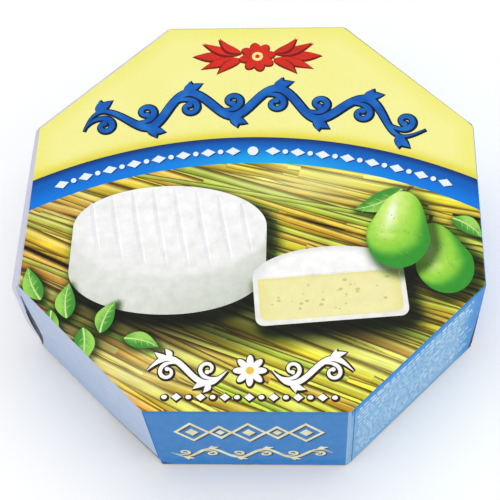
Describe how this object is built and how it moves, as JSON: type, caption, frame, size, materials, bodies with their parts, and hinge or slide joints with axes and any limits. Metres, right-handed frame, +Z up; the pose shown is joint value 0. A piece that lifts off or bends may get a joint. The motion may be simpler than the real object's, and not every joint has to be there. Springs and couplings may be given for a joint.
{
  "type": "cheese carton",
  "caption": "Shut octagonal printed carton of a small soft-ripened cheese: a folded board lid pulled down over its filled base.",
  "frame": {"origin": "on the table, under the middle of the box round the carton", "axes": "+Z up through the lid's top; -Y out of the front wall; +X to the right as the front wall is faced"},
  "size_m": [0.0886, 0.0874, 0.0262],
  "materials": {
    "printed_board": "varnished print, satin",
    "plain_board": "matte"
  },
  "bodies": {
    "root": {"lid": "printed_board", "base": "plain_board"}
  },
  "joints": []
}
